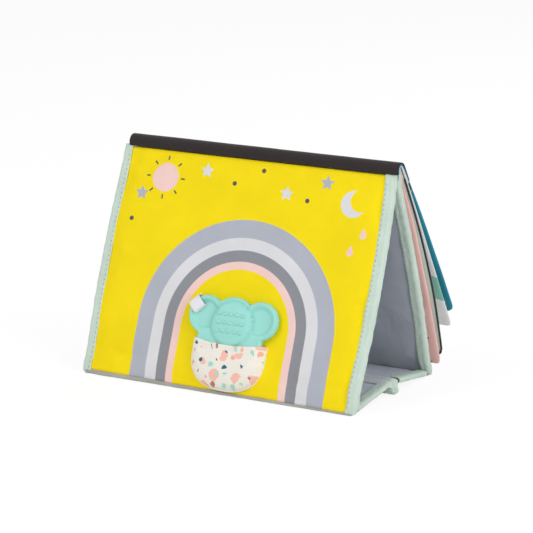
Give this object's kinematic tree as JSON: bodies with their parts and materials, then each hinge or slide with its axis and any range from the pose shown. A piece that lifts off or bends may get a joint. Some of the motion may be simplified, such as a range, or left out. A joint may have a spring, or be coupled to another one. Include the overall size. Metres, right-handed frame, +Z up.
{
  "type": "soft baby book",
  "caption": "Padded cloth easel book that stands as a tent, with a folding base, cloth leaves over the back and a pocket holding a teether.",
  "frame": {"origin": "on the ground, midway between the two feet, below the middle of the ridge", "axes": "+X runs along the ridge to the right seen from the front, +Y from the front cover to the back, +Z up"},
  "size_m": [0.27, 0.2005, 0.2066],
  "materials": {
    "back_cloth": "printed plain polyester",
    "lining_cloth": "smooth lining taffeta",
    "underside_cloth": "woven polyester",
    "ridge_cloth": "woven polyester",
    "pink_cloth": "woven polyester",
    "mint_leaf_cloth": "woven polyester",
    "overlock_thread": "overlocked thread",
    "grey_leaf_cloth": "woven polyester",
    "contrast_cloth": "printed polyester",
    "teal_tape": "folded binding tape",
    "yellow_cloth": "printed polyester satin",
    "print_grey": "printed ink on cloth",
    "print_pale": "printed ink on cloth",
    "print_slate": "printed ink on cloth",
    "print_blush": "printed ink on cloth",
    "print_charcoal": "printed ink on cloth",
    "pocket_cloth": "woven cotton",
    "piping_cloth": "folded bias piping",
    "chip_blush": "printed ink on cloth",
    "chip_terracotta": "printed ink on cloth",
    "chip_navy": "printed ink on cloth",
    "chip_aqua": "printed ink on cloth",
    "silicone": "satin moulded silicone",
    "ribbon": "woven satin ribbon",
    "mint_tape": "folded binding tape"
  },
  "bodies": {
    "rear_cover": {"rear_cover_panel": "back_cloth", "rear_cover_lining": "lining_cloth", "rear_cover_hem": "underside_cloth", "rear_binding_left": "mint_tape", "rear_binding_right": "mint_tape", "ridge_band": "ridge_cloth", "leaf_pink": "pink_cloth", "leaf_mint": "mint_leaf_cloth", "leaf_mint_overlock": "overlock_thread", "leaf_grey": "grey_leaf_cloth", "leaf_teal": "contrast_cloth", "leaf_teal_binding": "teal_tape"},
    "front_cover": {"front_cover_panel": "yellow_cloth", "front_cover_lining": "lining_cloth", "front_cover_hem": "underside_cloth", "front_binding_left": "mint_tape", "front_binding_right": "mint_tape", "print_grey": "print_grey", "print_pale": "print_pale", "print_slate": "print_slate", "print_blush": "print_blush", "print_charcoal": "print_charcoal", "pocket": "pocket_cloth", "pocket_piping": "piping_cloth", "chips_blush": "chip_blush", "chips_terracotta": "chip_terracotta", "chips_navy": "chip_navy", "chips_aqua": "chip_aqua", "teether": "silicone", "ribbon": "ribbon"},
    "front_base": {"front_base_pad": "underside_cloth", "front_base_lining": "lining_cloth", "front_base_binding_left": "mint_tape", "front_base_binding_right": "mint_tape", "front_pleat": "underside_cloth"},
    "rear_base": {"rear_base_pad": "underside_cloth", "rear_base_lining": "lining_cloth", "rear_base_binding_left": "mint_tape", "rear_base_binding_right": "mint_tape", "rear_pleat": "underside_cloth"}
  },
  "joints": [
    {"name": "ridge_fold", "type": "hinge", "parent": "rear_cover", "child": "front_cover", "pos_m": [0, 0, 0.17171], "axis": [1, 0, 0], "range_deg": [0, 32.5]},
    {"name": "front_base_fold", "type": "hinge", "parent": "front_cover", "child": "front_base", "pos_m": [0, -0.0673, 0.00635], "axis": [1, 0, 0], "range_deg": [0, 62.11], "deforming": ["front_pleat"]},
    {"name": "rear_base_fold", "type": "hinge", "parent": "rear_cover", "child": "rear_base", "pos_m": [0, 0.0673, 0.00635], "axis": [-1, 0, 0], "range_deg": [0, 62.11], "deforming": ["rear_pleat"]}
  ],
  "couplings": [
    {"joint": "front_base_fold", "follows": "ridge_fold", "ratio": 1.9096},
    {"joint": "rear_base_fold", "follows": "ridge_fold", "ratio": 1.9096}
  ]
}
